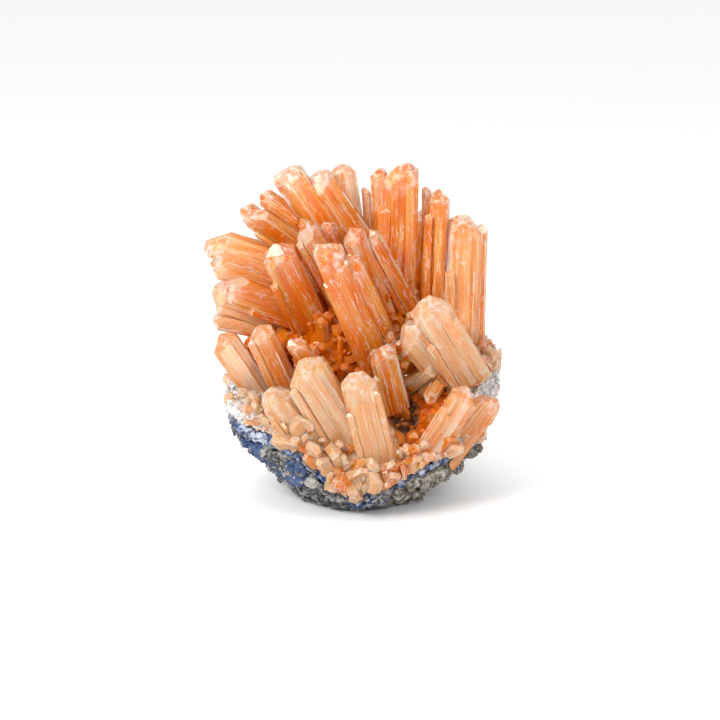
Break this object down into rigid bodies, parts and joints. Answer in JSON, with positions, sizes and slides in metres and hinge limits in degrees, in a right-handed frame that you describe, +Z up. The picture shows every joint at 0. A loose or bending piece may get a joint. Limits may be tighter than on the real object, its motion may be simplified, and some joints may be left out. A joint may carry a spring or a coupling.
{
  "type": "orange prismatic crystal cluster on matrix",
  "caption": "Cabinet mineral specimen: a spray of long striated orange prisms rising from a pale drusy crust, over a thin blue layer and grey rock with a flat foot.",
  "frame": {"origin": "on the flat foot of the matrix rock, near its middle", "axes": "+Z up, out of the rock towards the crystals; -Y towards the front; +X to the right, seen from the front"},
  "size_m": [0.0879, 0.0792, 0.1004],
  "materials": {
    "rock": "matte",
    "blue_mineral": "matte",
    "crust": "sugary, slightly glossy",
    "orange_bed": "glassy",
    "orange_crystal": "glassy, striated",
    "pale_crystal": "glassy, striated"
  },
  "bodies": {
    "root": {"matrix_rock": "rock", "blue_layer": "blue_mineral", "crystal_centre": "orange_crystal", "crystal_front_pale": "pale_crystal", "crystal_front_left": "pale_crystal", "crystal_front_right": "orange_crystal", "crystal_right_stub": "pale_crystal", "crystal_upper_middle": "orange_crystal", "crystal_left_middle": "orange_crystal", "crystal_left_inner": "orange_crystal", "crystal_left_large": "orange_crystal", "crystal_left_lower": "orange_crystal", "crystal_left_clear": "pale_crystal", "crystal_top_double": "orange_crystal", "crystal_right_tall": "orange_crystal", "crystal_right_inner": "orange_crystal", "crystal_top_middle": "orange_crystal", "crystal_top_left": "orange_crystal", "crystal_far_left_pair": "orange_crystal", "crystal_left_tip": "orange_crystal", "crystal_low_left": "orange_crystal", "crystal_low_far_left": "orange_crystal", "crystal_low_middle": "orange_crystal", "crystal_side_left": "orange_crystal", "crystal_right_foot": "orange_crystal", "crystal_cavity_wall": "orange_crystal", "crystal_cavity_deep": "orange_crystal", "crystal_back_middle": "orange_crystal", "crystal_back_left": "orange_crystal", "crystal_back_right": "orange_crystal", "crystal_back_far_right": "orange_crystal", "crystal_back_far_left": "orange_crystal", "crystal_back_low": "orange_crystal", "crystal_back_low_left": "orange_crystal", "crystal_back_low_right": "orange_crystal", "crystal_behind_top": "orange_crystal", "crystal_behind_right": "orange_crystal", "crystal_behind_left": "orange_crystal", "crystal_bed": "orange_bed", "druse_crust": "crust"}
  },
  "joints": []
}
